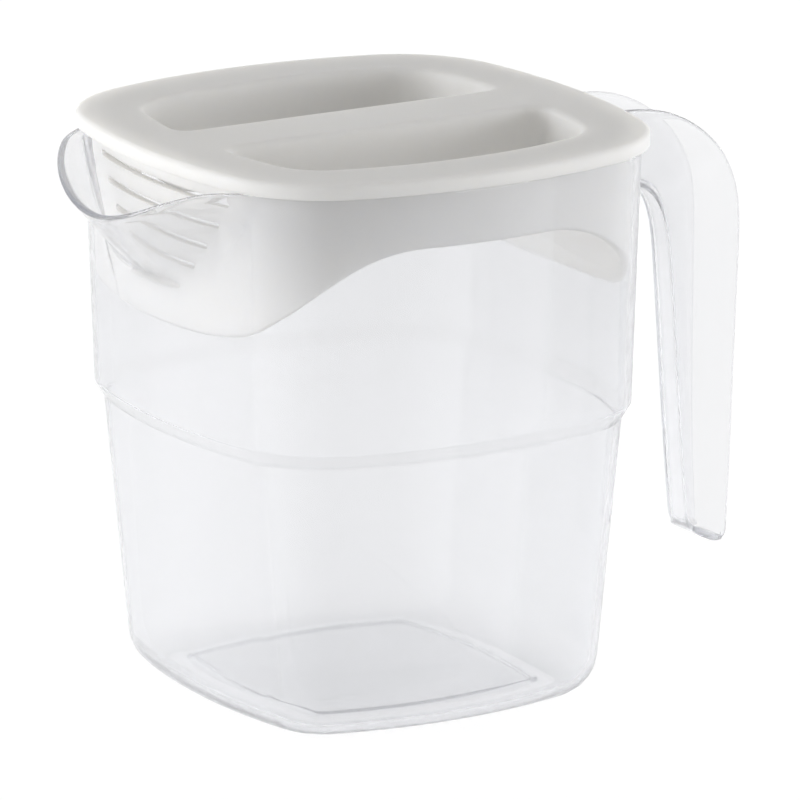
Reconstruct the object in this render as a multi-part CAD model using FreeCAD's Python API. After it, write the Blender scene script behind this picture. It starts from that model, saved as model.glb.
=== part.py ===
"""Clear plastic jug with a lift-off lid: one moulding for the jug, one for the lid."""
import FreeCAD
import Part
import math
import os

V = FreeCAD.Vector

# ---------------------------------------------------------------- plan outline
HALF_LENGTH = 65.0          # lid, centre to the middle of a short-axis side (X)
HALF_BREADTH = 67.5         # lid, centre to the middle of a side facing Y
BULGE_X = 12.5              # how far the sides facing X bow out
BULGE_Y = 15.0              # how far the sides facing Y bow out
CORNER_RADIUS = 32.0        # lid corner in plan

# ---------------------------------------------------------------- jug body
RIM_HEIGHT = 144.7          # top of the rim, where the lid plate rests
WALL = 1.8                  # wall of the jug
FLOOR = 2.2                 # floor of the jug
RIM_INSET = 2.0             # lid edge stands out past the rim by this much
DRAFT_UPPER = 2.7           # the upper wall leans in by this much down to the shoulder
SHOULDER_TOP = 78.2         # height of the upper edge of the shoulder
SHOULDER_DROP = 4.1         # height of the sloping shoulder
SHOULDER_IN = 2.6           # how far the shoulder steps in
DRAFT_LOWER = 6.6           # the lower wall leans in by this much down to the floor
FOOT_RADIUS = 8.0           # rounding of the bottom edge
SHOULDER_ROUND = 1.2        # rounding of the shoulder's upper edge
PANEL_INSET = 12.0          # raised floor panel, inside the bottom edge
PANEL_RISE = 1.4            # height of the raised floor panel

# ---------------------------------------------------------------- spout
SPOUT_ROOT_X = -54.9        # the lip leaves the rim at this station
SPOUT_REACH = 25.9          # how far the lip stands out past the root
SPOUT_HALF_WIDTH = 49.0     # half of the lip's width at the rim
SPOUT_FOOT_HALF_WIDTH = 25.0  # half of the spout's width where it leaves the wall
SPOUT_DIP = 12.5            # the lip's tip is lower than its ends
SPOUT_LIP_TOP = 146.3       # height that the lip's ends run up to
SPOUT_FOOT = 111.0          # height where the spout grows out of the wall
SPOUT_SLOPE = 0.9           # outward run of the spout for each unit of height
SPOUT_NOSE = 2.9            # higher values give a narrower nose
SPOUT_DIP_POWER = 5.0       # higher values keep the dip near the tip
SPOUT_BACK = 8.0            # the spout's section closes this far inside its root
SPOUT_FILL = 1.6            # the spout's foot is this many walls thick

# ---------------------------------------------------------------- handle
HANDLE_WALL = 1.8
WEB_HALF_WIDTH = 5.6        # half width of the handle's inner web
WEB_RADIUS = 3.2            # rounding between the web and the cheeks
HANDLE_STEPS = 17           # sections run along the handle
# web x, web z, edge x, edge z, half width over the free edges
HANDLE_POINTS = [
    (58.0, 121.0, 58.0, 144.0, 12.6),
    (72.0, 121.8, 72.5, 144.1, 12.2),
    (79.5, 121.4, 83.0, 142.3, 12.0),
    (84.3, 119.4, 93.6, 136.9, 12.0),
    (87.4, 115.3, 101.5, 129.0, 11.9),
    (89.3, 109.0, 106.0, 119.5, 11.7),
    (90.4, 100.0, 107.2, 105.0, 11.4),
    (92.3, 74.0, 106.4, 74.0, 10.5),
    (94.2, 48.0, 105.8, 46.0, 9.6),
    (95.7, 31.0, 105.2, 23.6, 8.6),
]

# ---------------------------------------------------------------- lid
PLATE = 4.0                 # thickness of the lid plate at its edge
PLATE_ROUND = 1.4           # rounding of the plate's top edge
SKIN = 2.0                  # thickness of the lid's top skin and walls
FIT_GAP = 0.3               # clearance between the skirt and the jug wall
WELL_MARGIN = 15.4          # plate edge to the edge of a grip well
BAR_WIDTH = 21.0            # width of the grip bar between the wells
WELL_DEPTH = 16.0
WELL_DRAFT = 2.5
WELL_CORNER = 7.0           # well corner beside the grip bar
WELL_FLOOR_ROUND = 3.5      # rounding between the well's floor and its walls
SKIRT_SHALLOW = 19.2        # depth of the skirt's edge along the Y sides, below the top
SKIRT_DEEP = 45.5           # depth of the two lobes at the X sides, below the top
SLOT_HEIGHT = 1.6
SLOT_FIRST = 9.0            # first strainer slot, below the top
SLOT_PITCH = 6.25
SLOT_HALF_LENGTHS = [32.0, 28.0, 23.0, 17.5, 11.0]

CUT_PAST = 5.0              # cutters run past the solid by this much
LEAST_ROUND = 0.8           # smallest rounding inside the handle

LID_TOP = RIM_HEIGHT + PLATE


# ================================================================ outline
class Outline:
    """Rounded square of eight tangent arcs; every offset keeps the arc centres."""

    def __init__(self, half_x, half_y, bulge_x, bulge_y, corner):
        self.radius_x = (half_y ** 2 + bulge_x ** 2) / (2.0 * bulge_x)
        self.radius_y = (half_x ** 2 + bulge_y ** 2) / (2.0 * bulge_y)
        self.centre_x = half_x - self.radius_x
        self.centre_y = half_y - self.radius_y
        self.corner = corner
        reach_x = self.radius_x - corner
        reach_y = self.radius_y - corner
        gap = math.hypot(self.centre_x, self.centre_y)
        along = (reach_x ** 2 - reach_y ** 2 + gap ** 2) / (2.0 * gap)
        across = math.sqrt(reach_x ** 2 - along ** 2)
        ex = -self.centre_x / gap
        ey = self.centre_y / gap
        self.px = self.centre_x + along * ex - across * ey
        self.py = along * ey + across * ex
        if self.px + self.py < 0.0:
            self.px = self.centre_x + along * ex + across * ey
            self.py = along * ey - across * ex
        self.angle_x = math.atan2(self.py, self.px - self.centre_x)
        self.angle_y = math.atan2(self.py - self.centre_y, self.px)

    def side_x(self, angle, grow):
        r = self.radius_x + grow
        return self.centre_x + r * math.cos(angle), r * math.sin(angle)

    def side_y(self, angle, grow):
        r = self.radius_y + grow
        return r * math.cos(angle), self.centre_y + r * math.sin(angle)

    def corner_point(self, angle, grow):
        r = self.corner + grow
        return self.px + r * math.cos(angle), self.py + r * math.sin(angle)

    def wire(self, grow, z):
        """Closed wire of the outline moved out by grow, at height z."""
        a = self.side_x(self.angle_x, grow)
        m = self.side_x(0.0, grow)
        b = self.side_y(self.angle_y, grow)
        n = self.side_y(math.pi / 2.0, grow)
        c = self.corner_point((self.angle_x + self.angle_y) / 2.0, grow)
        edges = [
            arc((a[0], -a[1]), m, a, z),
            arc(a, c, b, z),
            arc(b, n, (-b[0], b[1]), z),
            arc((-b[0], b[1]), (-c[0], c[1]), (-a[0], a[1]), z),
            arc((-a[0], a[1]), (-m[0], 0.0), (-a[0], -a[1]), z),
            arc((-a[0], -a[1]), (-c[0], -c[1]), (-b[0], -b[1]), z),
            arc((-b[0], -b[1]), (0.0, -n[1]), (b[0], -b[1]), z),
            arc((b[0], -b[1]), (c[0], -c[1]), (a[0], -a[1]), z),
        ]
        return Part.Wire(edges)

    def half_wire(self, grow, line_y, radius, z, side):
        """One grip well: the outline beyond a straight line, its two corners rounded."""
        r = self.radius_x + grow
        cy = line_y + radius
        cx = self.centre_x + math.sqrt((r - radius) ** 2 - cy ** 2)
        ux = (cx - self.centre_x) / (r - radius)
        uy = cy / (r - radius)
        t = (self.centre_x + r * ux, r * uy)
        mid_angle = (-math.pi / 2.0 + math.atan2(uy, ux)) / 2.0
        k = (cx + radius * math.cos(mid_angle), cy + radius * math.sin(mid_angle))
        start_angle = math.atan2(t[1], t[0] - self.centre_x)
        m = self.side_x((start_angle + self.angle_x) / 2.0, grow)
        a = self.side_x(self.angle_x, grow)
        c = self.corner_point((self.angle_x + self.angle_y) / 2.0, grow)
        b = self.side_y(self.angle_y, grow)
        n = self.side_y(math.pi / 2.0, grow)
        pts = [(cx, line_y), k, t, m, a, c, b, n]
        p = [(q[0], q[1] * side) for q in pts]
        q = [(-q[0], q[1] * side) for q in pts]
        edges = [
            Part.makeLine(V(q[0][0], q[0][1], z), V(p[0][0], p[0][1], z)),
            arc(p[0], p[1], p[2], z),
            arc(p[2], p[3], p[4], z),
            arc(p[4], p[5], p[6], z),
            arc(p[6], p[7], q[6], z),
            arc(q[6], q[5], q[4], z),
            arc(q[4], q[3], q[2], z),
            arc(q[2], q[1], q[0], z),
        ]
        return Part.Wire(edges)


def arc(p, q, r, z):
    return Part.Arc(V(p[0], p[1], z), V(q[0], q[1], z), V(r[0], r[1], z)).toShape()


def loft(wires, ruled=True):
    return Part.makeLoft(wires, True, ruled)


def rounded_levels(grow, z, lean, radius, up, steps=4):
    """Levels of a rounded edge between a flat at z and a wall that leans out by lean per unit.

    up is +1 for a bottom edge (the wall runs up) and -1 for a top edge.
    """
    tilt = math.atan(lean)
    sweep = math.pi / 2.0 + tilt * up
    tangent = radius * math.tan(sweep / 2.0)
    levels = []
    for i in range(steps + 1):
        a = sweep * i / steps
        inward = tangent - radius * math.sin(a)
        rise = radius * (1.0 - math.cos(a))
        levels.append((grow - inward, z + up * rise))
    return levels


PLAN = Outline(HALF_LENGTH, HALF_BREADTH, BULGE_X, BULGE_Y, CORNER_RADIUS)


# ================================================================ jug body
def upper_grow(z):
    """Offset of the jug's outer face, above the shoulder, from the lid's outline."""
    share = (RIM_HEIGHT - z) / (RIM_HEIGHT - SHOULDER_TOP)
    return -RIM_INSET - DRAFT_UPPER * share


SHOULDER_BOTTOM = SHOULDER_TOP - SHOULDER_DROP
GROW_TOP = upper_grow(RIM_HEIGHT)
GROW_SHOULDER = upper_grow(SHOULDER_TOP)
GROW_LOWER = GROW_SHOULDER - SHOULDER_IN
GROW_BASE = GROW_LOWER - DRAFT_LOWER


def level_loft(levels):
    return loft([PLAN.wire(grow, z) for grow, z in levels])


def body_outer():
    lean = DRAFT_LOWER / SHOULDER_BOTTOM
    levels = rounded_levels(GROW_BASE, 0.0, lean, FOOT_RADIUS, 1.0)
    levels += [
        (GROW_LOWER, SHOULDER_BOTTOM),
        (upper_grow(SHOULDER_TOP) - SHOULDER_ROUND * 0.35, SHOULDER_TOP - SHOULDER_ROUND * 0.55),
        (upper_grow(SHOULDER_TOP), SHOULDER_TOP + SHOULDER_ROUND * 0.4),
        (GROW_TOP, RIM_HEIGHT),
    ]
    return level_loft(levels)


def body_inner():
    lean = DRAFT_LOWER / SHOULDER_BOTTOM
    radius = FOOT_RADIUS - WALL
    levels = rounded_levels(GROW_BASE + lean * FLOOR - WALL, FLOOR, lean, radius, 1.0)
    levels += [
        (GROW_LOWER - WALL, SHOULDER_BOTTOM),
        (GROW_SHOULDER - WALL, SHOULDER_TOP),
        (upper_grow(RIM_HEIGHT + CUT_PAST) - WALL, RIM_HEIGHT + CUT_PAST),
    ]
    solid = level_loft(levels)
    panel = GROW_BASE - PANEL_INSET
    return solid.cut(level_loft([(panel, FLOOR), (panel - PANEL_RISE, FLOOR + PANEL_RISE)]))


def foot_recess():
    panel = GROW_BASE - PANEL_INSET - WALL
    return level_loft([(panel, 0.0), (panel - PANEL_RISE, PANEL_RISE)])


# ================================================================ spout
def spout_wire(z, inset):
    """D-shaped section of the spout at height z, closed inside the jug."""
    tip_z = SPOUT_LIP_TOP - SPOUT_DIP
    reach = SPOUT_REACH + SPOUT_SLOPE * (z - tip_z) - inset * math.hypot(1.0, SPOUT_SLOPE)
    share = (z - SPOUT_FOOT) / (SPOUT_LIP_TOP - SPOUT_FOOT)
    half = SPOUT_FOOT_HALF_WIDTH + (SPOUT_HALF_WIDTH - SPOUT_FOOT_HALF_WIDTH) * share - inset
    points = []
    steps = 24
    for i in range(steps + 1):
        angle = math.radians(-90.0 + 180.0 * i / steps)
        bow = max(math.cos(angle), 0.0) ** SPOUT_NOSE
        points.append(V(SPOUT_ROOT_X - reach * bow, half * math.sin(angle), z))
    curve = Part.BSplineCurve()
    curve.interpolate(points)
    back = SPOUT_ROOT_X + SPOUT_BACK
    inner_a = V(back, half, z)
    inner_b = V(back, -half, z)
    return Part.Wire([
        curve.toShape(),
        Part.makeLine(points[-1], inner_a),
        Part.makeLine(inner_a, inner_b),
        Part.makeLine(inner_b, points[0]),
    ])


def spout_solid(inset):
    low = SPOUT_FOOT + inset * SPOUT_FILL
    high = RIM_HEIGHT
    if inset > 0.0:
        high = RIM_HEIGHT + CUT_PAST
    return loft([spout_wire(low, inset), spout_wire(high, inset)])


def lip_cutter():
    """Everything above the dipping lip, outside the rim's run."""
    start = SPOUT_ROOT_X - 2.0 * SPOUT_REACH
    run = 2.0 * SPOUT_REACH + 2.0 * SPOUT_BACK
    points = []
    steps = 30
    for i in range(steps + 1):
        angle = math.radians(-90.0 + 180.0 * i / steps)
        drop = SPOUT_DIP * max(math.cos(angle), 0.0) ** SPOUT_DIP_POWER
        points.append(V(start, SPOUT_HALF_WIDTH * math.sin(angle), SPOUT_LIP_TOP - drop))
    curve = Part.BSplineCurve()
    curve.interpolate(points)
    top = SPOUT_LIP_TOP + CUT_PAST
    a = V(start, SPOUT_HALF_WIDTH, top)
    b = V(start, -SPOUT_HALF_WIDTH, top)
    wire = Part.Wire([
        curve.toShape(),
        Part.makeLine(points[-1], a),
        Part.makeLine(a, b),
        Part.makeLine(b, points[0]),
    ])
    return Part.Face(wire).extrude(V(run, 0.0, 0.0))


# ================================================================ handle
def handle_section(station, grow):
    """Closed section of the handle; grow < 0 gives the trough inside it."""
    web_x, web_z, edge_x, edge_z, half = station
    length = math.hypot(edge_x - web_x, edge_z - web_z)
    dx = (edge_x - web_x) / length
    dz = (edge_z - web_z) / length
    lean = (half - WEB_HALF_WIDTH) / length
    start = -grow
    end = length
    if grow < 0.0:
        end = length + CUT_PAST
    side = WEB_HALF_WIDTH + grow
    radius = max(WEB_RADIUS + grow, LEAST_ROUND)

    def at(depth, y):
        return V(web_x + dx * depth, y, web_z + dz * depth)

    low = side + lean * start
    turn = math.atan2(1.0, lean)
    bend = radius * math.tan(turn / 2.0)
    cheek = bend / math.hypot(1.0, lean)
    p0 = (start, -(low - bend))
    p1 = (start + cheek, -(low + lean * cheek))
    half_end = side + lean * end
    centre = (start + radius, -(low - bend))
    angle = math.atan2(p1[1] - centre[1], p1[0] - centre[0])
    mid = (angle - math.pi) / 2.0
    if angle > 0.0:
        mid = (angle + math.pi) / 2.0
    pm = (centre[0] + radius * math.cos(mid), centre[1] + radius * math.sin(mid))
    edges = [
        Part.makeLine(at(p0[0], -p0[1]), at(p0[0], p0[1])),
        Part.Arc(at(*p0), at(*pm), at(*p1)).toShape(),
        Part.makeLine(at(*p1), at(end, -half_end)),
        Part.makeLine(at(end, -half_end), at(end, half_end)),
        Part.makeLine(at(end, half_end), at(p1[0], -p1[1])),
        Part.Arc(at(p1[0], -p1[1]), at(pm[0], -pm[1]), at(p0[0], -p0[1])).toShape(),
    ]
    return Part.Wire(edges)


def handle_stations():
    """Even run of sections taken from smooth curves through the handle's points."""
    spread = [0.0]
    for p, q in zip(HANDLE_POINTS, HANDLE_POINTS[1:]):
        spread.append(spread[-1] + math.hypot(q[2] - p[2], q[3] - p[3]))
    web = Part.BSplineCurve()
    web.interpolate(Points=[V(p[0], 0.0, p[1]) for p in HANDLE_POINTS], Parameters=spread)
    edge = Part.BSplineCurve()
    edge.interpolate(Points=[V(p[2], p[4], p[3]) for p in HANDLE_POINTS], Parameters=spread)
    stations = []
    for i in range(HANDLE_STEPS + 1):
        t = spread[-1] * i / HANDLE_STEPS
        w = web.value(t)
        e = edge.value(t)
        stations.append((w.x, w.z, e.x, e.z, e.y))
    return stations


def handle():
    stations = handle_stations()
    outer = loft([handle_section(s, 0.0) for s in stations])
    last = stations[-1]
    before = stations[-2]
    share = HANDLE_WALL / math.hypot(before[0] - last[0], before[1] - last[1])
    inner_end = tuple(l + (b - l) * share for l, b in zip(last, before))
    inner = loft([handle_section(s, -HANDLE_WALL) for s in stations[:-1] + [inner_end]])
    return outer.cut(inner)


def make_jug():
    """The jug: body, spout and handle in one moulding."""
    outer = body_outer()
    outer = outer.fuse(spout_solid(0.0))
    outer = outer.fuse(handle())
    jug = outer.cut(body_inner())
    jug = jug.cut(spout_solid(WALL))
    jug = jug.cut(foot_recess())
    jug = jug.cut(lip_cutter())
    reach = 2.0 * (HALF_LENGTH + SPOUT_REACH)
    above = Part.makeBox(2.0 * reach, 2.0 * reach, 2.0 * CUT_PAST, V(-reach, -reach, RIM_HEIGHT))
    jug = jug.cut(above)
    return jug.removeSplitter()


# ================================================================ lid
def skirt_grow(z):
    return upper_grow(z) - WALL - FIT_GAP


def skirt_cutter():
    """Prism below the skirt's waved edge, drawn in XZ and run across Y."""
    side = HALF_BREADTH + CUT_PAST
    shallow = LID_TOP - SKIRT_SHALLOW
    fall = SKIRT_DEEP - SKIRT_SHALLOW
    shape = [
        (0.0, 0.0), (0.30, 0.0), (0.44, 0.06), (0.56, 0.19), (0.665, 0.375),
        (0.74, 0.55), (0.82, 0.77), (0.865, 0.91), (0.91, 0.985), (1.0, 1.0), (1.2, 1.0),
    ]
    right = [V(HALF_LENGTH * s, -side, shallow - fall * f) for s, f in shape]
    left = [V(-p.x, p.y, p.z) for p in reversed(right[1:])]
    curve = Part.BSplineCurve()
    curve.interpolate(left + right)
    reach = right[-1].x
    low = shallow - fall - CUT_PAST
    a = V(reach, -side, low)
    b = V(-reach, -side, low)
    wire = Part.Wire([
        curve.toShape(),
        Part.makeLine(right[-1], a),
        Part.makeLine(a, b),
        Part.makeLine(b, left[0]),
    ])
    return Part.Face(wire).extrude(V(0.0, 2.0 * side, 0.0))


def well(side, wall):
    """Grip well (wall 0) or the cup around it."""
    rim = wall - WELL_MARGIN
    line = BAR_WIDTH / 2.0 - wall
    levels = [(rim - WELL_DRAFT, LID_TOP - WELL_DEPTH - wall)]
    if wall == 0.0:
        lean = WELL_DRAFT / WELL_DEPTH
        levels = rounded_levels(levels[0][0], levels[0][1], lean, WELL_FLOOR_ROUND, 1.0, 2)
    levels.append((rim, LID_TOP))
    return loft([PLAN.half_wire(g, line + rim - g, WELL_CORNER + wall, z, side) for g, z in levels])


def slot(index):
    """One strainer slot with round ends, through the skirt on the spout's side."""
    z = LID_TOP - SLOT_FIRST - SLOT_PITCH * index
    half = SLOT_HALF_LENGTHS[index]
    r = SLOT_HEIGHT / 2.0
    start = -HALF_LENGTH
    run = BULGE_X + CUT_PAST
    box = Part.makeBox(run, 2.0 * half, SLOT_HEIGHT, V(start, -half, z - r))
    ends = [
        Part.makeCylinder(r, run, V(start, y, z), V(1.0, 0.0, 0.0))
        for y in (-half, half)
    ]
    return box.fuse(ends[0]).fuse(ends[1])


def make_lid():
    """The lid: plate, waved skirt with strainer slots, and two grip wells beside the bar."""
    edge = rounded_levels(0.0, LID_TOP, 0.0, PLATE_ROUND, -1.0, 3)
    plate = level_loft([(0.0, RIM_HEIGHT)] + edge[::-1])
    low = LID_TOP - SKIRT_DEEP - CUT_PAST
    joined = RIM_HEIGHT + SKIN / 2.0
    skirt = loft([
        PLAN.wire(skirt_grow(low), low),
        PLAN.wire(skirt_grow(joined), joined),
    ])
    lid = plate.fuse(skirt)
    under = LID_TOP - SKIN
    lid = lid.cut(loft([
        PLAN.wire(skirt_grow(low) - SKIN, low),
        PLAN.wire(skirt_grow(under) - SKIN, under),
    ]))
    lid = lid.cut(skirt_cutter())
    for i in range(len(SLOT_HALF_LENGTHS)):
        lid = lid.cut(slot(i))
    reach = 2.0 * HALF_BREADTH
    below = 2.0 * WELL_DEPTH
    trim = Part.makeBox(reach, reach, below, V(-reach / 2.0, -reach / 2.0, LID_TOP - SKIN / 2.0 - below))
    for side in (-1.0, 1.0):
        lid = lid.fuse(well(side, SKIN).common(trim))
    for side in (-1.0, 1.0):
        lid = lid.cut(well(side, 0.0))
    return lid.removeSplitter()


def main():
    os.makedirs("parts", exist_ok=True)
    jug = make_jug()
    lid = make_lid()
    points = jug.tessellate(0.02)[0] + lid.tessellate(0.02)[0]
    xs = [p.x for p in points]
    ys = [p.y for p in points]
    zs = [p.z for p in points]
    print("size", [round(max(c) - min(c), 2) for c in (xs, ys, zs)])
    shift = V(-(min(xs) + max(xs)) / 2.0, -(min(ys) + max(ys)) / 2.0, -min(zs))
    for name, shape in (("jug", jug), ("lid", lid)):
        shape.translate(shift)
        solids = shape.Solids
        print(name, len(solids), "solid", shape.isValid(), round(shape.Volume / 1000.0, 1), "cm3")
        if len(solids) == 1:
            shape = solids[0]
        shape.exportStep("parts/" + name + ".step")


main()
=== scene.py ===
"""Looks of a clear plastic jug with a white strainer lid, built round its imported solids.

Every surface is worked out with numpy from named sizes in millimetres. The jug's axis, its rim
and the lid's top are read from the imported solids, and the finished meshes are in metres.
"""
from __future__ import annotations

import logging
import math
from dataclasses import dataclass
from enum import Enum

import bmesh
import bpy
import numpy as np
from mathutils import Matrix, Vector

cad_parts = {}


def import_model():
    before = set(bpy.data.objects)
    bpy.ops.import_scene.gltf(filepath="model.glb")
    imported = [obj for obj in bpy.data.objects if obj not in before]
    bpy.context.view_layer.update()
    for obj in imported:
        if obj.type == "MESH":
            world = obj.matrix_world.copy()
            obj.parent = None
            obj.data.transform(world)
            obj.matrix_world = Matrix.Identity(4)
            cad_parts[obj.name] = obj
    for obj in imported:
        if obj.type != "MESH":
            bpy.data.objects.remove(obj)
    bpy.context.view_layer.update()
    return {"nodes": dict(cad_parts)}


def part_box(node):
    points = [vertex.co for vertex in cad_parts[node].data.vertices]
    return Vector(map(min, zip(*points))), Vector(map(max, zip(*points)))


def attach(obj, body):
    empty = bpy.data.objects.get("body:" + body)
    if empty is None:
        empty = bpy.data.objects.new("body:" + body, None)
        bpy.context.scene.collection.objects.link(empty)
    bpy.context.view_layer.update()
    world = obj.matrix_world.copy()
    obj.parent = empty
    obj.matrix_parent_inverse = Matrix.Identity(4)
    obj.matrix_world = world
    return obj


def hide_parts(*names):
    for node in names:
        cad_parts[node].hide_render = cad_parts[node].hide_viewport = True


LOG = logging.getLogger("jug")
MM = 0.001
WELD = 2.0e-6
TINY = 1.0e-6
SQUEEZE_CORE = 0.4
Colour = tuple[float, float, float]
Stretch = tuple[float, float, float]


class Slot(Enum):
    """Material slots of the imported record."""

    CLEAR = "clear_plastic"
    WHITE = "white_plastic"


# Shader graph helpers
class Signal:
    """One number carried by a node socket; arithmetic on it adds Math nodes."""

    def __init__(self, graph: Graph, socket: bpy.types.NodeSocket) -> None:
        """Wrap a socket of a graph."""
        self.graph = graph
        self.socket = socket

    def _math(self, operation: str, left: Signal | float, right: Signal | float) -> Signal:
        """Add one Math node.

        Args:
            operation: Blender's name of the operation.
            left: first operand.
            right: second operand.

        Returns:
            The node's value.
        """
        node = self.graph.add("ShaderNodeMath", {"operation": operation}, {0: left, 1: right})
        return node["Value"]

    def __radd__(self, other: Signal | float) -> Signal:
        """Sum with the number first."""
        return self._math("ADD", other, self)

    def __sub__(self, other: Signal | float) -> Signal:
        """Difference."""
        return self._math("SUBTRACT", self, other)

    def __mul__(self, other: Signal | float) -> Signal:
        """Product."""
        return self._math("MULTIPLY", self, other)

    def __rmul__(self, other: Signal | float) -> Signal:
        """Product with the number first."""
        return self._math("MULTIPLY", other, self)

    def over(self, limit: Signal | float) -> Signal:
        """One where this socket is greater than the limit, zero elsewhere."""
        return self._math("GREATER_THAN", self, limit)

    def most(self, other: Signal | float) -> Signal:
        """The larger of two values."""
        return self._math("MAXIMUM", self, other)


class Added:
    """A node that has just been added; its outputs are read by name."""

    def __init__(self, graph: Graph, node: bpy.types.Node) -> None:
        """Keep the graph and the node."""
        self.graph = graph
        self.node = node

    def __getitem__(self, name: str) -> Signal:
        """Return an output as a signal."""
        return Signal(self.graph, self.node.outputs[name])


class Graph:
    """Builder for one material's or world's node tree."""

    def __init__(self, tree: bpy.types.NodeTree) -> None:
        """Start from an empty tree."""
        self.tree = tree
        self.tree.nodes.clear()

    def add(self, kind: str, settings: dict | None = None, inputs: dict | None = None) -> Added:
        """Add a node.

        Args:
            kind: Blender's name of the node type.
            settings: properties of the node, set first.
            inputs: values, signals or added nodes for its input sockets, by name or index.

        Returns:
            The node, whose outputs are read by name.
        """
        node = self.tree.nodes.new(kind)
        for name, value in (settings or {}).items():
            setattr(node, name, value)
        for name, value in (inputs or {}).items():
            if isinstance(value, Added):
                value = Signal(self, value.node.outputs[0])
            if isinstance(value, Signal):
                self.tree.links.new(value.socket, node.inputs[name])
            else:
                node.inputs[name].default_value = value
        return Added(self, node)

    def noise(
        self, scale: float, detail: float = 2.0, stretch: Stretch = (1.0, 1.0, 1.0),
    ) -> Signal:
        """Noise on Object coordinates.

        Args:
            scale: cells per metre.
            detail: number of finer octaves.
            stretch: factor on each axis before the noise is read.

        Returns:
            The noise value from 0 to 1.
        """
        place = self.add("ShaderNodeTexCoord")["Object"]
        mapped = self.add("ShaderNodeMapping", {}, {"Vector": place, "Scale": stretch})
        wanted = {"Vector": mapped, "Scale": scale, "Detail": detail}
        return self.add("ShaderNodeTexNoise", {"noise_dimensions": "3D"}, wanted)["Fac"]

    def bump(self, height: Signal, distance: float) -> Signal:
        """Normal bent by a relief from 0 to 1 whose height is a distance in metres."""
        wanted = {"Height": height, "Distance": distance, "Strength": 1.0}
        return self.add("ShaderNodeBump", {}, wanted)["Normal"]

    def seen(self) -> Signal:
        """One for rays from the camera, mirrored or through a clear wall, zero for the rest."""
        path = self.add("ShaderNodeLightPath")
        return path["Is Camera Ray"].most(path["Is Glossy Ray"]).most(path["Is Transmission Ray"])

    def between(self, share: Signal | float, first: Added, second: Added) -> Added:
        """Mix two shaders.

        Args:
            share: 0 gives the first alone, 1 the second alone.
            first: one shader.
            second: the other shader.

        Returns:
            The Mix Shader node.
        """
        return self.add("ShaderNodeMixShader", {}, {0: share, 1: first, 2: second})

    def blend(self, share: Signal, first: Colour, second: Colour) -> Signal:
        """Mix two fixed colours.

        Args:
            share: 0 gives the first alone, 1 the second alone.
            first: one colour.
            second: the other colour.

        Returns:
            The mixed colour.
        """
        node = self.add(
            "ShaderNodeMix",
            {"data_type": "RGBA"},
            {0: share, 6: (*first, 1.0), 7: (*second, 1.0)},
        )
        return Signal(self, node.node.outputs[2])

    def finish_material(self, shader: Added, inside: Added | None = None) -> None:
        """Link the last shader, and what fills the walls, to the material's output."""
        wanted = {"Surface": shader}
        if inside is not None:
            wanted["Volume"] = inside
        self.add("ShaderNodeOutputMaterial", {}, wanted)


def new_material(name: str) -> tuple[bpy.types.Material, Graph]:
    """Make an empty material and the builder of its nodes."""
    material = bpy.data.materials.new(name)
    material.use_nodes = True
    return material, Graph(material.node_tree)


# Finishes
@dataclass(frozen=True)
class ClearPlastic:
    """Clear polypropylene: glossy, faintly milky, with slow waves from the mould's flow."""

    tint: Colour = (0.963, 0.964, 0.968)
    depth_colour: Colour = (0.32, 0.36, 0.46)
    depth_density: float = 30.0
    milk: Colour = (0.93, 0.925, 0.93)
    ior: float = 1.47
    roughness: float = 0.06
    milk_share: float = 0.09
    milk_swing: float = 0.03
    milk_passed: float = 0.5
    thin_share: float = 0.1
    deepest: float = 9.0
    wave_scale: float = 26.0
    wave_stretch: Stretch = (1.0, 1.0, 0.22)
    wave_detail: float = 3.0
    wave_height: float = 0.00012
    cloud_scale: float = 15.6
    cloud_stretch: Stretch = (1.0, 1.0, 0.4)
    shadow_tint: Colour = (0.955, 0.958, 0.965)

    def build(self) -> bpy.types.Material:
        """Make the material.

        The body is a refracting shader, partly passed straight through as thin film does. A
        small, slowly changing share of it is milk, half reflected and half let through. Shadow
        rays, and rays that have already met many walls, pass with a light tint. Inside the
        walls light fades with distance, so edges seen along the wall are darker.

        Returns:
            The material.
        """
        material, graph = new_material("clear_plastic")
        flow = graph.noise(self.wave_scale, self.wave_detail, self.wave_stretch)
        clear = graph.add(
            "ShaderNodeBsdfPrincipled",
            {},
            {
                "Base Color": (*self.tint, 1.0),
                "Roughness": self.roughness,
                "IOR": self.ior,
                "Transmission Weight": 1.0,
                "Normal": graph.bump(flow, self.wave_height),
            },
        )
        skin = graph.add("ShaderNodeBsdfDiffuse", {}, {"Color": (*self.milk, 1.0)})
        glow = graph.add("ShaderNodeBsdfTranslucent", {}, {"Color": (*self.milk, 1.0)})
        milk = graph.between(self.milk_passed, skin, glow)
        cloud = graph.noise(self.cloud_scale, stretch=self.cloud_stretch)
        share = self.milk_share + self.milk_swing * (cloud - 0.5)
        passed = graph.add("ShaderNodeBsdfTransparent", {}, {"Color": (*self.shadow_tint, 1.0)})
        thin = graph.between(self.thin_share, clear, passed)
        body = graph.between(share, thin, milk)
        path = graph.add("ShaderNodeLightPath")
        through = path["Is Shadow Ray"].most(path["Ray Depth"].over(self.deepest))
        fading = graph.add(
            "ShaderNodeVolumeAbsorption",
            {},
            {"Color": (*self.depth_colour, 1.0), "Density": self.depth_density},
        )
        graph.finish_material(graph.between(through, body, passed), fading)
        return material


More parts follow.
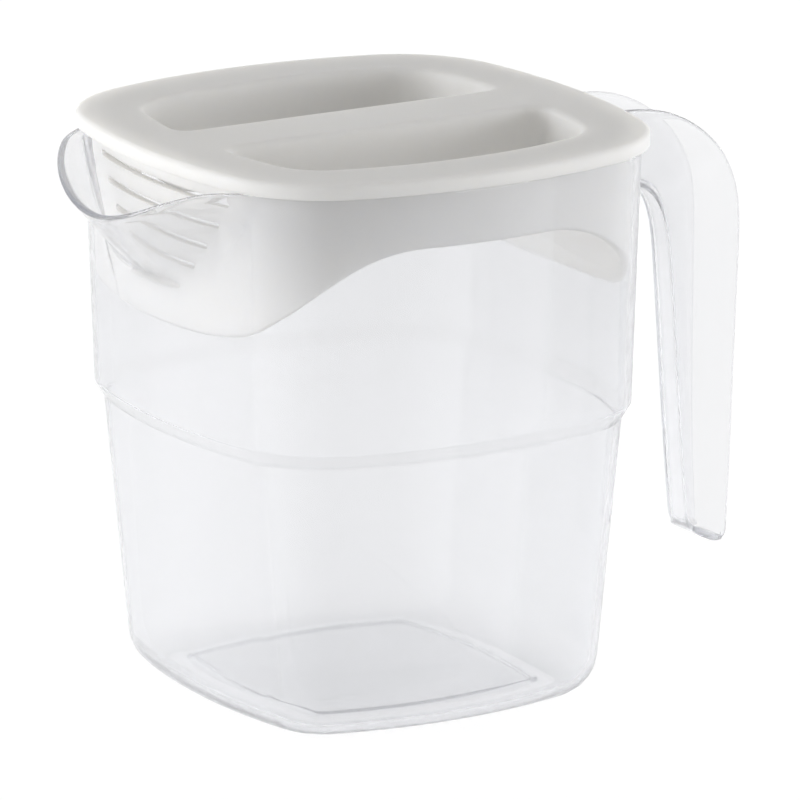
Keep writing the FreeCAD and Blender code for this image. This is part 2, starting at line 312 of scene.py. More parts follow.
@dataclass(frozen=True)
class WhitePlastic:
    """White satin polypropylene with a fine grain from the mould."""

    low: Colour = (0.86, 0.85, 0.825)
    high: Colour = (0.89, 0.88, 0.86)
    drift_scale: float = 18.0
    drift_detail: float = 3.0
    ior: float = 1.49
    roughness: float = 0.42
    roughness_swing: float = 0.1
    grain_scale: float = 1400.0
    grain_height: float = 0.00003
    glow_share: float = 0.3
    depth_share: float = 0.75
    depth_scale: float = 0.012
    depth_radius: Colour = (1.0, 0.95, 0.85)

    def build(self) -> bpy.types.Material:
        """Make the material.

        Colour drifts between two near whites by slow noise, roughness by finer noise. Light
        spreads inside the wall and a share of it passes through.

        Returns:
            The material.
        """
        material, graph = new_material("white_plastic")
        drift = graph.noise(self.drift_scale, self.drift_detail)
        grain = graph.noise(self.grain_scale)
        colour = graph.blend(drift, self.low, self.high)
        roughness = self.roughness + self.roughness_swing * (grain - 0.5)
        satin = graph.add(
            "ShaderNodeBsdfPrincipled",
            {},
            {
                "Base Color": colour,
                "Roughness": roughness,
                "IOR": self.ior,
                "Subsurface Weight": self.depth_share,
                "Subsurface Scale": self.depth_scale,
                "Subsurface Radius": self.depth_radius,
                "Normal": graph.bump(grain, self.grain_height),
            },
        )
        glow = graph.add("ShaderNodeBsdfTranslucent", {}, {"Color": (*self.high, 1.0)})
        graph.finish_material(graph.between(self.glow_share, satin, glow))
        return material


@dataclass(frozen=True)
class FloorFinish:
    """Pale floor that reads as a white ground and keeps a soft shadow."""

    low: Colour = (0.9, 0.9, 0.9)
    high: Colour = (0.92, 0.92, 0.92)
    speck_scale: float = 5.0
    ground_share: float = 0.86
    ground_level: float = 1.05

    def build(self) -> bpy.types.Material:
        """Make the material.

        Seen directly, in a reflection or through the clear plastic, most of the floor's light
        is its own even white, and the rest is lit, so the shadow stays.

        Returns:
            The material.
        """
        material, graph = new_material("pale_floor")
        colour = graph.blend(graph.noise(self.speck_scale), self.low, self.high)
        lit = graph.add("ShaderNodeBsdfDiffuse", {}, {"Color": colour})
        ground = graph.add("ShaderNodeEmission", {}, {"Strength": self.ground_level})
        graph.finish_material(graph.between(graph.seen() * self.ground_share, lit, ground))
        return material


# Numbers and grids
def smooth_least(first: np.ndarray, second: np.ndarray, width: float) -> np.ndarray:
    """Smaller of two fields, rounded where they meet.

    Formula: the plain minimum, lowered by (width - |difference|)^2 / (4 width) where the two
    differ by less than the width.

    Args:
        first: one field.
        second: the other field.
        width: range of difference over which the corner is rounded.

    Returns:
        The rounded minimum.
    """
    overlap = np.maximum(width - np.abs(first - second), 0.0)
    return np.minimum(first, second) - overlap ** 2 / (4.0 * width)


def spline(knots: np.ndarray, values: np.ndarray, at: np.ndarray) -> np.ndarray:
    """Natural cubic spline.

    Formula: the second derivatives at the knots solve the usual three-diagonal system, and
    each span is the cubic that has them at its ends.

    Args:
        knots: rising places of the values.
        values: one row of values for each knot.
        at: places at which the spline is read.

    Returns:
        One row of values for each place.
    """
    step = np.diff(knots)
    count = len(knots)
    system = np.zeros((count, count))
    system[0, 0] = 1.0
    system[-1, -1] = 1.0
    inner = np.arange(1, count - 1)
    system[inner, inner - 1] = step[:-1]
    system[inner, inner] = 2.0 * (step[:-1] + step[1:])
    system[inner, inner + 1] = step[1:]
    slope = np.diff(values, axis=0) / step[:, None]
    right = np.zeros_like(values)
    right[1:-1] = 6.0 * np.diff(slope, axis=0)
    bend = np.linalg.solve(system, right)
    span = np.clip(np.searchsorted(knots, at, side="right") - 1, 0, count - 2)
    run = (at - knots[span])[:, None]
    width = step[span][:, None]
    first = slope[span] - width * (2.0 * bend[span] + bend[span + 1]) / 6.0
    third = (bend[span + 1] - bend[span]) / (6.0 * width)
    return values[span] + run * (first + run * (bend[span] / 2.0 + run * third))


def even_run(points: np.ndarray, count: int) -> np.ndarray:
    """Spread points evenly along a fine polyline.

    Args:
        points: the polyline, one row for each point.
        count: number of points wanted, ends included.

    Returns:
        The spread points.
    """
    length = np.concatenate(([0.0], np.cumsum(np.hypot(*np.diff(points, axis=0).T))))
    wanted = np.linspace(0.0, length[-1], count)
    return np.stack([np.interp(wanted, length, points[:, k]) for k in range(2)], axis=1)


def rounded(corners: list[tuple[float, float, float]], steps: int = 6) -> np.ndarray:
    """Polyline with each corner replaced by a tangent arc.

    Formula: the arc starts radius * tan(turn / 2) before the corner, and its points are the
    centre plus the start arm turned in even steps.

    Args:
        corners: place across, place up and radius of each corner, the ends included.
        steps: pieces of each arc.

    Returns:
        The rounded polyline, one row for each point.
    """
    places = np.array([c[:2] for c in corners])
    path = [places[:1]]
    for before, here, after, corner in zip(places, places[1:], places[2:], corners[1:]):
        into = (here - before) / np.linalg.norm(here - before)
        away = (after - here) / np.linalg.norm(after - here)
        turn = math.atan2(into[0] * away[1] - into[1] * away[0], float(into @ away))
        radius = corner[2]
        start = here - into * radius * abs(math.tan(turn / 2.0))
        side = math.copysign(1.0, turn)
        arm = radius * side * np.array([into[1], -into[0]])
        angle = np.linspace(0.0, turn, steps + 1)[:, None]
        swept = arm * np.cos(angle) + np.array([-arm[1], arm[0]]) * np.sin(angle)
        path.append(start - arm + swept)
    path.append(places[-1:])
    return np.concatenate(path)


def divided(path: np.ndarray, longest: float) -> np.ndarray:
    """Cut a polyline's long pieces into even parts.

    Args:
        path: one row for each point.
        longest: longest piece that is left whole.

    Returns:
        The polyline with the added points.
    """
    parts = []
    for start, end in zip(path, path[1:]):
        count = max(1, math.ceil(float(np.linalg.norm(end - start)) / longest))
        parts.append(start + (end - start) * np.linspace(0.0, 1.0, count, endpoint=False)[:, None])
    parts.append(path[-1:])
    return np.concatenate(parts)


def rolled(outer: np.ndarray, inner: np.ndarray, steps: int, axis: int, rise: float) -> np.ndarray:
    """Half-round free edge between two faces.

    Formula: half way between the faces, plus half their distance times cos a, and out along
    the axis by rise times sin a, for a inside a half turn.

    Args:
        outer: last points of the outer face.
        inner: last points of the inner face.
        steps: pieces of the half turn.
        axis: coordinate that the edge stands out along.
        rise: how far it stands out.

    Returns:
        The edge's rows, steps - 1 of them, without those of the two faces.
    """
    angle = np.linspace(0.0, math.pi, steps + 1)[1:-1, None]
    edge = (outer + inner) / 2.0 + (outer - inner) / 2.0 * np.cos(angle)[..., None]
    edge[..., axis] += rise * np.sin(angle)
    return edge


def squeezed(
    points: np.ndarray, corner: np.ndarray, before: np.ndarray, after: np.ndarray, radius: float,
) -> np.ndarray:
    """Squeeze a corner in the XZ plane so that it becomes a tangent arc.

    Formula: in the wedge between the arc's two end normals, the corner's sides lie at
    radius / max(cos) from the arc's centre, and distances beyond a small core are scaled so
    that the sides land on the arc.

    Args:
        points: any shape by 3.
        corner: x and z of the corner.
        before: x and z of a point on one side.
        after: x and z of a point on the other side.
        radius: radius of the arc.

    Returns:
        The points, moved within their XZ planes.
    """
    first = (before - corner) / np.linalg.norm(before - corner)
    second = (after - corner) / np.linalg.norm(after - corner)
    half = math.acos(float(first @ second)) / 2.0
    middle = (first + second) / np.linalg.norm(first + second)
    centre = corner + middle * radius / math.sin(half)
    tangent = radius / math.tan(half)
    arm = points[..., [0, 2]] - centre
    far = np.maximum(np.linalg.norm(arm, axis=-1), TINY)
    facing = [arm @ (corner + side * tangent - centre) / radius for side in (first, second)]
    edge = radius * far / np.maximum(np.maximum(*facing), TINY)
    core = SQUEEZE_CORE * radius
    wedge = (arm @ first < 0.0) & (arm @ second < 0.0) & (far > core)
    scaled = core + (far - core) * (radius - core) / np.maximum(edge - core, TINY)
    moved = np.where(wedge, scaled / far, 1.0)
    result = points.copy()
    result[..., [0, 2]] = centre + arm * moved[..., None]
    return result


class Shell:
    """Collects grids in millimetres and turns them into one closed mesh object."""

    def __init__(self, name: str, axis_x: float) -> None:
        """Start an empty shell round an upright axis at axis_x."""
        self.name = name
        self.axis_x = axis_x
        self.vertices: list[np.ndarray] = []
        self.faces: list[np.ndarray] = []
        self.count = 0

    def grid(self, points: np.ndarray, holes: np.ndarray | None = None) -> np.ndarray:
        """Add a grid that closes round its columns.

        Args:
            points: rows, columns, 3.
            holes: rows - 1, columns; true where a quad is left out.

        Returns:
            The index of every vertex, shaped rows, columns.
        """
        index = np.arange(points[..., 0].size).reshape(points.shape[:2]) + self.count
        across = np.roll(index, -1, axis=1)
        faces = np.stack([index[:-1], across[:-1], across[1:], index[1:]], axis=-1)
        if holes is not None:
            faces = faces[~holes]
        self.faces.append(faces.reshape(-1, 4))
        self.vertices.append(points.reshape(-1, 3))
        self.count += index.size
        return index

    def strip(self, first: np.ndarray, second: np.ndarray) -> None:
        """Join two closed loops of vertex indices by a band of quads."""
        ahead = np.roll(first, -1)
        beyond = np.roll(second, -1)
        self.faces.append(np.stack([first, ahead, beyond, second], axis=-1))

    def build(
        self, material: bpy.types.Material, slot: Slot, crease: float = 50.0,
    ) -> bpy.types.Object:
        """Weld the grids, point the faces outward and make the object.

        Args:
            material: finish of the whole shell.
            slot: not used.
            crease: faces that meet at more than this many degrees keep a sharp edge.

        Returns:
            The object, at the origin, riding on the jug's only body.
        """
        points = np.concatenate(self.vertices) * MM
        points[:, 0] += self.axis_x
        mesh = bpy.data.meshes.new(self.name)
        mesh.from_pydata(points.tolist(), [], np.concatenate(self.faces).tolist())
        work = bmesh.new()
        work.from_mesh(mesh)
        bmesh.ops.remove_doubles(work, verts=work.verts, dist=WELD)
        bmesh.ops.dissolve_degenerate(work, dist=WELD, edges=work.edges)
        bmesh.ops.recalc_face_normals(work, faces=work.faces)
        open_edges = sum(1 for edge in work.edges if not edge.is_manifold)
        work.to_mesh(mesh)
        work.free()
        mesh.polygons.foreach_set("use_smooth", np.ones(len(mesh.polygons), dtype=bool))
        mesh.set_sharp_from_angle(angle=math.radians(crease))
        mesh.materials.append(material)
        thing = bpy.data.objects.new(self.name, mesh)
        bpy.context.scene.collection.objects.link(thing)
        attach(thing, "root")
        LOG.info("%s: %d faces, %d open edges", self.name, len(mesh.polygons), open_edges)
        return thing


# Plan outline
@dataclass
class Plan:
    """Rounded square of eight tangent arcs; moving it out by g adds g along its normals."""

    half_x: float
    half_y: float
    bulge_x: float = 13.0
    bulge_y: float = 16.5
    corner: float = 32.5
    side_steps: int = 36
    corner_steps: int = 28
    front_steps: int = 24
    well_corner_steps: int = 11
    well_side_steps: int = 23

    def __post_init__(self) -> None:
        """Find the arcs' centres, the angles at which they meet, and the whole outline."""
        self.radius_x = (self.half_y ** 2 + self.bulge_x ** 2) / (2.0 * self.bulge_x)
        self.radius_y = (self.half_x ** 2 + self.bulge_y ** 2) / (2.0 * self.bulge_y)
        self.centre_x = self.half_x - self.radius_x
        self.centre_y = self.half_y - self.radius_y
        reach_x = self.radius_x - self.corner
        reach_y = self.radius_y - self.corner
        gap = math.hypot(self.centre_x, self.centre_y)
        along = (reach_x ** 2 - reach_y ** 2 + gap ** 2) / (2.0 * gap)
        across = math.sqrt(reach_x ** 2 - along ** 2)
        unit_x = -self.centre_x / gap
        unit_y = self.centre_y / gap
        self.corner_x = self.centre_x + along * unit_x - across * unit_y
        self.corner_y = along * unit_y + across * unit_x
        self.angle_x = math.atan2(self.corner_y, self.corner_x - self.centre_x)
        self.angle_y = math.atan2(self.corner_y - self.centre_y, self.corner_x)
        self.base, self.normal = (self.mirrored(part) for part in self.quarter())
        self.middle = len(self.base) // 2

    def quarter(self) -> tuple[np.ndarray, np.ndarray]:
        """Points and normals from the X axis to the Y axis.

        Formula: each arc is its centre plus its radius times (cos angle, sin angle), and that
        same direction is the normal.

        Returns:
            The points and the normals, ends included.
        """
        side = np.linspace(0.0, self.angle_x, self.side_steps + 1)
        bend = np.linspace(self.angle_x, self.angle_y, self.corner_steps + 1)[1:]
        front = np.linspace(self.angle_y, math.pi / 2.0, self.front_steps + 1)[1:]
        angle = np.concatenate([side, bend, front])
        normal = np.stack([np.cos(angle), np.sin(angle)], axis=1)
        counts = [len(side), len(bend), len(front)]
        centre_x = np.repeat([self.centre_x, self.corner_x, 0.0], counts)
        centre_y = np.repeat([0.0, self.corner_y, self.centre_y], counts)
        radius = np.repeat([self.radius_x, self.corner, self.radius_y], counts)
        base = np.stack([centre_x, centre_y], axis=1) + radius[:, None] * normal
        return base, normal

    def moved(self, grow: np.ndarray | float) -> np.ndarray:
        """Outline from the +X axis over +Y and -X, moved out by one or by many offsets."""
        return self.base + np.asarray(grow)[..., None] * self.normal

    @staticmethod
    def mirrored(part: np.ndarray) -> np.ndarray:
        """Repeat a quarter into the other three by mirroring it."""
        back = part[::-1]
        runs = [
            part[:-1],
            back[:-1] * (-1.0, 1.0),
            part[:-1] * (-1.0, -1.0),
            back[:-1] * (1.0, -1.0),
        ]
        return np.concatenate(runs)

    def side_at(self, y: np.ndarray, grow: np.ndarray) -> np.ndarray:
        """Distance from the axis, along X, of the side at a given y."""
        return self.centre_x + np.sqrt((self.radius_x + grow) ** 2 - y ** 2)

    def well(self, grow: float, line: float, radius: float, line_steps: int) -> np.ndarray:
        """Loop of one grip well: the outline beyond a straight line, with rounded corners.

        Formula: the small corner is an arc tangent to the line and to the side's arc; the
        rest follows the outline's own arcs at the given offset.

        Args:
            grow: offset of the outline.
            line: y of the straight side.
            radius: radius of the two corners beside the line.
            line_steps: pieces of the straight side.

        Returns:
            Points in the order of the outline's upper half, then back along the line.
        """
        reach = self.radius_x + grow
        cy = line + radius
        cx = self.centre_x + math.sqrt((reach - radius) ** 2 - cy ** 2)
        meet = math.atan2(cy, cx - self.centre_x)
        middle = (meet - math.pi / 2.0) / 2.0
        small = np.linspace(middle, meet, self.well_corner_steps + 1)
        arc = np.stack([cx + radius * np.cos(small), cy + radius * np.sin(small)], axis=1)
        side = np.linspace(meet, self.angle_x, self.well_side_steps + 1)[1:]
        run = np.stack([self.centre_x + reach * np.cos(side), reach * np.sin(side)], axis=1)
        first = even_run(np.concatenate([arc, run]), self.side_steps + 1)
        base, normal = self.quarter()
        rest = (base + grow * normal)[self.side_steps + 1:]
        quarter = np.concatenate([first, rest])
        half = np.concatenate([quarter[:-1], quarter[::-1] * (-1.0, 1.0)])
        low = np.linspace(-math.pi / 2.0, middle, self.well_corner_steps + 1)
        foot = np.stack([cx + radius * np.cos(low), cy + radius * np.sin(low)], axis=1)
        straight = np.concatenate([foot[::-1] * (-1.0, 1.0), foot])
        return np.concatenate([half, even_run(straight, line_steps + 1)[1:-1]])


# The jug's moulding
@dataclass
class JugBody:
    """Clear body with its shoulder, raised floor and wide dipping spout, in millimetres."""

    plan: Plan
    rim: float
    wall: float = 1.8
    floor: float = 2.2
    rim_inset: float = 2.1
    draft_upper: float = 2.3
    shoulder_top: float = 77.4
    shoulder_drop: float = 4.1
    shoulder_in: float = 2.4
    draft_lower: float = 6.9
    foot_radius: float = 11.0
    shoulder_round: float = 1.1
    panel_inset: float = 14.0
    panel_rise: float = 1.4
    panel_run: float = 1.0
    spout_root: float = 56.5
    spout_reach: float = 23.4
    spout_half: float = 45.5
    spout_foot_half: float = 25.0
    spout_dip: float = 12.4
    spout_lip_top: float = 145.9
    spout_foot: float = 111.0
    spout_slope: float = 0.9
    spout_nose: float = 2.0
    spout_dip_power: float = 4.2
    blend_width: float = 3.0
    lip_blend: float = 1.0
    spout_fade: float = 10.0
    shoulder_above: float = 4.0
    longest: float = 4.0
    upper_rows: int = 45
    floor_rows: int = 8
    rim_steps: int = 8

    def upper_grow(self, z: np.ndarray | float) -> np.ndarray | float:
        """Offset of the outer face above the shoulder, falling evenly from the rim down."""
        share = (self.rim - z) / (self.rim - self.shoulder_top)
        return -self.rim_inset - self.draft_upper * share

    def spout_x(self, y: np.ndarray, z: np.ndarray, inset: float) -> np.ndarray:
        """Outward place of the spout's face.

        Formula: root + reach * (cos a)^nose, where sin a is y over the half width; reach
        grows evenly with height and the half width runs evenly from foot to lip.

        Args:
            y: places across.
            z: heights.
            inset: distance inside the outer face.

        Returns:
            Distance from the axis towards the spout; far inside where there is no spout.
        """
        tip = self.spout_lip_top - self.spout_dip
        reach = self.spout_reach + self.spout_slope * (z - tip)
        reach = reach - inset * math.hypot(1.0, self.spout_slope)
        share = (z - self.spout_foot) / (self.spout_lip_top - self.spout_foot)
        half = self.spout_foot_half + (self.spout_half - self.spout_foot_half) * share - inset
        sine = np.clip(y / np.maximum(half, 1.0), -1.0, 1.0)
        place = self.spout_root + reach * (1.0 - sine ** 2) ** (self.spout_nose / 2.0)
        return np.where(np.abs(y) < half, place, 0.0)

    def face(self, grow: np.ndarray, z: np.ndarray, inset: float) -> np.ndarray:
        """Body face with the spout joined to it.

        Formula: the plan moved out by grow; on the spout's side x becomes the rounded
        farther-out of the plan's face and the spout's face.

        Args:
            grow: offset of the plan, rows by columns.
            z: heights, rows by columns.
            inset: distance inside the outer face, for the spout.

        Returns:
            Points, rows by columns by 3.
        """
        x, y = np.moveaxis(self.plan.moved(grow), -1, 0)
        spout = -self.spout_x(y, z, inset)
        joined = smooth_least(x, spout, self.blend_width)
        inside = (self.plan.normal[:, 0] < 0.0) & (z > self.spout_foot - self.spout_fade)
        return np.stack([np.where(inside, joined, x), y, z], axis=-1)

    def lip(self) -> np.ndarray:
        """Height of the rim round the loop, dipping along the spout.

        Formula: lip top less dip * (cos a)^power, where sin a is y over the half width, and
        never above the rim.
        """
        y = self.plan.moved(self.upper_grow(self.rim))[:, 1]
        sine = np.clip(y / self.spout_half, -1.0, 1.0)
        bow = (1.0 - sine ** 2) ** (self.spout_dip_power / 2.0)
        dip = self.spout_lip_top - self.spout_dip * bow
        level = np.full_like(dip, self.rim)
        joined = smooth_least(dip, level, self.lip_blend)
        return np.where(self.plan.normal[:, 0] < 0.0, joined, level)

    def profile(self, inset: float, floor: float) -> np.ndarray:
        """Offset and height of one face, from the floor's panel to above the shoulder.

        Args:
            inset: distance inside the outer face.
            floor: height of the face beside the panel.

        Returns:
            The rounded profile, one row for each point.
        """
        lower_z = self.shoulder_top - self.shoulder_drop
        shoulder = float(self.upper_grow(self.shoulder_top))
        lower = shoulder - self.shoulder_in
        base = lower - self.draft_lower
        panel = base - self.panel_inset - (self.wall - inset)
        lean = self.draft_lower / lower_z
        above = self.shoulder_top + self.shoulder_above
        tight = self.panel_rise / 2.0
        corners = [
            (panel - self.panel_rise - self.panel_run, floor + self.panel_rise, 0.0),
            (panel - self.panel_rise, floor + self.panel_rise, tight),
            (panel, floor, tight),
            (base + lean * floor - inset, floor, self.foot_radius - inset),
            (lower - inset, lower_z, self.shoulder_round),
            (shoulder - inset, self.shoulder_top, self.shoulder_round),
            (float(self.upper_grow(above)) - inset, above, 0.0),
        ]
        return divided(rounded(corners), self.longest)

    def skin(self, lip: np.ndarray, inset: float, floor: float) -> np.ndarray:
        """One face of the body from the floor's middle up to just below the rim.

        Args:
            lip: height of the rim round the loop.
            inset: distance inside the outer face.
            floor: height of the face beside the floor's panel.

        Returns:
            Points, rows by columns by 3.
        """
        profile = self.profile(inset, floor)
        columns = len(lip)
        share = np.linspace(0.0, 1.0, self.upper_rows + 1)[1:, None]
        start = profile[-1, 1]
        high = start + (lip - self.wall / 2.0 - start) * share
        z = np.concatenate([np.repeat(profile[:, 1:], columns, axis=1), high])
        upper = self.upper_grow(high) - inset
        grow = np.concatenate([np.repeat(profile[:, :1], columns, axis=1), upper])
        side = self.face(grow, z, inset)
        centre = side[:1] * (0.0, 0.0, 1.0)
        spread = np.linspace(0.0, 1.0, self.floor_rows + 1)[:-1, None, None]
        bottom = centre + (side[:1] - centre) * spread
        return np.concatenate([bottom, side])

    def build(self, axis_x: float, material: bpy.types.Material) -> bpy.types.Object:
        """Make the body.

        Args:
            axis_x: place of the jug's axis in metres.
            material: clear finish.

        Returns:
            The body's object.
        """
        lip = self.lip()
        outer = self.skin(lip, 0.0, 0.0)
        inner = self.skin(lip, self.wall, self.floor)
        rim = rolled(outer[-1], inner[-1], self.rim_steps, 2, self.wall / 2.0)
        shell = Shell("jug_body", axis_x)
        shell.grid(np.concatenate([outer, rim, inner[::-1]]))
        return shell.build(material, Slot.CLEAR)


@dataclass
class Handle:
    """Handle open along its outside: a rounded web, two cheeks and a closed lower end."""

    plan: Plan
    body: JugBody
    wall: float = 1.8
    web_half: float = 5.6
    web_radius: float = 3.2
    sink: float = 0.5
    end_round_web: float = 6.5
    end_round_edge: float = 3.0
    web_shrink: float = 0.6
    web_steps: int = 4
    bend_steps: int = 8
    cheek_steps: int = 16
    edge_steps: int = 7
    sections: int = 150
    root_rows: int = 9
    cap_shares: tuple[float, ...] = (0.96, 0.9, 0.8, 0.65, 0.5, 0.35, 0.2, 0.0)
    stations: tuple[tuple[float, float, float, float, float], ...] = (
        (58.0, 121.0, 58.0, 144.2, 13.4),
        (72.0, 121.8, 72.7, 144.4, 13.0),
        (79.5, 121.4, 83.4, 142.8, 12.9),
        (84.3, 119.4, 94.1, 137.5, 12.9),
        (87.4, 115.3, 102.0, 129.4, 12.8),
        (89.3, 109.0, 106.2, 119.6, 12.6),
        (90.4, 100.0, 107.2, 105.0, 12.3),
        (92.3, 74.0, 106.5, 74.0, 11.4),
        (94.2, 48.0, 106.0, 46.0, 10.5),
        (96.2, 26.6, 105.4, 22.6, 9.5),
    )

    def run(self) -> np.ndarray:
        """Web place, edge place and half width of every section, root to end."""
        points = np.array(self.stations)
        spread = np.concatenate(([0.0], np.cumsum(np.hypot(*np.diff(points[:, 2:4], axis=0).T))))
        start = float(self.plan.side_at(0.0, self.body.upper_grow(self.body.rim))) - points[0, 0]
        return spline(spread, points, np.linspace(start - self.sink, spread[-1], self.sections))

    def half_section(self, run: np.ndarray, inset: float) -> np.ndarray:
        """Half of each section, from the middle of the web to the free edge.

        Formula: across the web, round an arc tangent to the web and the cheek, and along the
        cheek, whose half width grows evenly with depth.

        Args:
            run: sections, one row each.
            inset: distance inside the outer face.

        Returns:
            Depth and half width, sections by points by 2.
        """
        length = np.hypot(run[:, 2] - run[:, 0], run[:, 3] - run[:, 1])[:, None]
        lean = (run[:, 4:5] - self.web_half) / length
        radius = self.web_radius - self.web_shrink * inset
        turn = np.arctan2(1.0, lean)
        level = self.web_half - inset + lean * inset
        bend = radius * np.tan(turn / 2.0)
        flat = np.linspace(0.0, 1.0, self.web_steps + 1)[None, :-1] * (level - bend)
        sweep = np.linspace(0.0, 1.0, self.bend_steps + 1)[None, :] * turn
        arc_depth = inset + radius - radius * np.cos(sweep)
        arc_width = level - bend + radius * np.sin(sweep)
        share = np.linspace(0.0, 1.0, self.cheek_steps + 1)[None, 1:]
        tip = length - self.wall / 2.0
        cheek_depth = arc_depth[:, -1:] + (tip - arc_depth[:, -1:]) * share
        cheek_width = self.web_half - inset + lean * cheek_depth
        depth = np.concatenate([np.full_like(flat, inset), arc_depth, cheek_depth], axis=1)
        width = np.concatenate([flat, arc_width, cheek_width], axis=1)
        return np.stack([depth, width], axis=-1)

    @property
    def face_points(self) -> int:
        """Number of points of half a section's outer face."""
        return self.web_steps + self.bend_steps + 1 + self.cheek_steps

    def loop(self, run: np.ndarray) -> np.ndarray:
        """Closed section loops: outer face, rounded edge, inner face, rounded edge."""
        outer = self.half_section(run, 0.0)
        inner = self.half_section(run, self.wall)
        edge = rolled(outer[:, -1], inner[:, -1], self.edge_steps, 0, self.wall / 2.0)
        half = np.concatenate([outer, edge.swapaxes(0, 1), inner[:, ::-1]], axis=1)
        return self.mirrored(half)

    @staticmethod
    def mirrored(half: np.ndarray) -> np.ndarray:
        """Close half loops by their mirror images across the middle plane."""
        return np.concatenate([half, half[:, -2:0:-1] * (1.0, -1.0)], axis=1)

    def placed(self, run: np.ndarray, loop: np.ndarray) -> np.ndarray:
        """Put section loops in space: the web's place plus depth along the section."""
        length = np.hypot(run[:, 2] - run[:, 0], run[:, 3] - run[:, 1])[:, None]
        unit_x = (run[:, 2:3] - run[:, 0:1]) / length
        unit_z = (run[:, 3:4] - run[:, 1:2]) / length
        x = run[:, 0:1] + unit_x * loop[..., 0]
        z = run[:, 1:2] + unit_z * loop[..., 0]
        return np.stack([x, loop[..., 1], z], axis=-1)

    def end_wall(self, loop: np.ndarray, length: float) -> np.ndarray:
        """Close a section's trough up to the free edge, for the wall at the lower end.

        Args:
            loop: one section loop, points by 2.
            length: depth of the free edge.

        Returns:
            The loop, with its inner face drawn straight across at the free edge.
        """
        half = loop[:len(loop) // 2 + 1].copy()
        count = self.face_points
        width = half[-count, 1] * np.linspace(1.0, 0.0, count)
        flat = np.stack([np.full(count, length), width], axis=1)
        return self.mirrored(np.concatenate([half[:-count], flat])[None])[0]

    def rooted(self, points: np.ndarray) -> np.ndarray:
        """Lay the first section on the body's outer face, sunk a little, and start it closed.

        Formula: the first section's move along X fades as a square over the next sections.

        Args:
            points: placed sections.

        Returns:
            The sections, with a row in front that closes the root on the middle plane.
        """
        grow = self.body.upper_grow(points[:1, :, 2])
        wall_x = self.plan.side_at(points[:1, :, 1], grow) - self.sink
        fade = np.linspace(1.0, 0.0, self.root_rows)[:, None] ** 2
        points[:self.root_rows, :, 0] += (wall_x - points[:1, :, 0]) * fade
        start = points[:1] * (1.0, 0.0, 1.0)
        return np.concatenate([start, points])

    def closed_end(self, run: np.ndarray, loop: np.ndarray, closed: int) -> np.ndarray:
        """Last sections with their trough closed, and the rings that cap them.

        Args:
            run: all sections.
            loop: all section loops.
            closed: number of steps of the run that the end wall takes.

        Returns:
            Points, rows by columns by 3, ending in one point.
        """
        run = run[-closed - 1:]
        length = np.hypot(run[:, 2] - run[:, 0], run[:, 3] - run[:, 1])
        walls = [self.end_wall(part, deep) for part, deep in zip(loop[-closed - 1:], length)]
        tail = self.placed(run, np.stack(walls))
        centre = tail[-1].mean(axis=0)
        cap = centre + (tail[-1:] - centre) * np.array(self.cap_shares)[:, None, None]
        return np.concatenate([tail, cap])

    def rounded_end(
        self, run: np.ndarray, trough: np.ndarray, rest: np.ndarray, closed: int,
    ) -> np.ndarray:
        """Squeeze the end's corners, seen from the side, onto arcs: two outside, one inside.

        Args:
            run: all sections.
            trough: placed sections whose trough is open, after the row that closes the root.
            rest: points of the closed end.
            closed: number of steps of the run that the end wall takes.

        Returns:
            The handle's points, rows by columns by 3.
        """
        inner = np.zeros(trough.shape[1], dtype=bool)
        middle = trough.shape[1] // 2
        inner[middle - self.face_points + 1:middle + self.face_points] = True
        pair = run[[-closed - 1, -closed - 2]]
        depth = self.wall / np.hypot(*(pair[0, 2:4] - pair[0, 0:2]))
        web = pair[:, 0:2] + (pair[:, 2:4] - pair[:, 0:2]) * depth
        radius = self.end_round_web - self.wall
        trough[1:, inner] = squeezed(trough[1:, inner], web[0], web[1], pair[0, 2:4], radius)
        last = run[-1]
        before = run[-2]
        for corner, above, across, radius in (
            (last[0:2], before[0:2], last[2:4], self.end_round_web),
            (last[2:4], before[2:4], last[0:2], self.end_round_edge),
        ):
            trough[1:, ~inner] = squeezed(trough[1:, ~inner], corner, above, across, radius)
            rest = squeezed(rest, corner, above, across, radius)
        return np.concatenate([trough, rest])

    def build(self, axis_x: float, material: bpy.types.Material) -> bpy.types.Object:
        """Make the handle.

        Formula: section loops along the run, rooted on the body; over the last wall's
        thickness of the run they are closed up to the free edge and capped.

        Args:
            axis_x: place of the jug's axis in metres.
            material: clear finish.

        Returns:
            The handle's object.
        """
        run = self.run()
        loop = self.loop(run)
        step = float(np.hypot(*(run[-1, 0:2] - run[-2, 0:2])))
        closed = max(1, round(self.wall / step))
        trough = self.rooted(self.placed(run, loop))[:-closed]
        rest = self.closed_end(run, loop, closed)
        shell = Shell("jug_handle", axis_x)
        shell.grid(self.rounded_end(run, trough, rest, closed))
        return shell.build(material, Slot.CLEAR)


